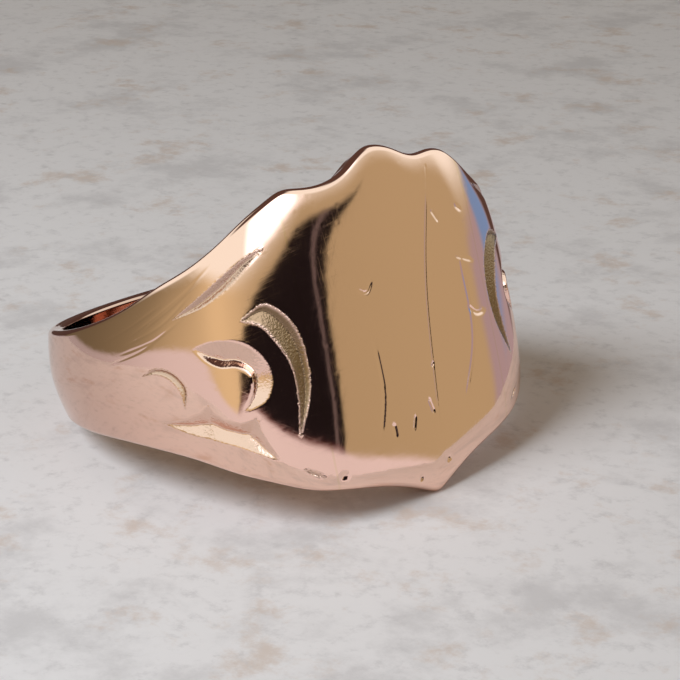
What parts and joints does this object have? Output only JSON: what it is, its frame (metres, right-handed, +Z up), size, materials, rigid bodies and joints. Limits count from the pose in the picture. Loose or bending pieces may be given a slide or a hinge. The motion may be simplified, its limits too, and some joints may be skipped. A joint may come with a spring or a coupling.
{
  "type": "signet ring",
  "caption": "Shield-headed signet ring with engraved shoulders and a tapering shank, lying on its side with the head's point and the back of the shank on one level.",
  "frame": {"origin": "middle of the finger bore, on its axis, level with the middle of the shank", "axes": "+X horizontally towards the head, +Z up from the surface the ring lies on; the bore axis leans back from +Z by 17.2 degrees in the XZ plane"},
  "size_m": [0.0233, 0.0218, 0.016],
  "materials": {
    "rose_gold": "polished, worn",
    "gold_solder": "polished, worn"
  },
  "bodies": {
    "root": {"signet_head": "rose_gold", "left_shoulder": "rose_gold", "right_shoulder": "rose_gold", "back_shank": "rose_gold", "left_head_solder": "gold_solder", "right_head_solder": "gold_solder", "left_shank_solder": "gold_solder", "right_shank_solder": "gold_solder"}
  },
  "joints": []
}
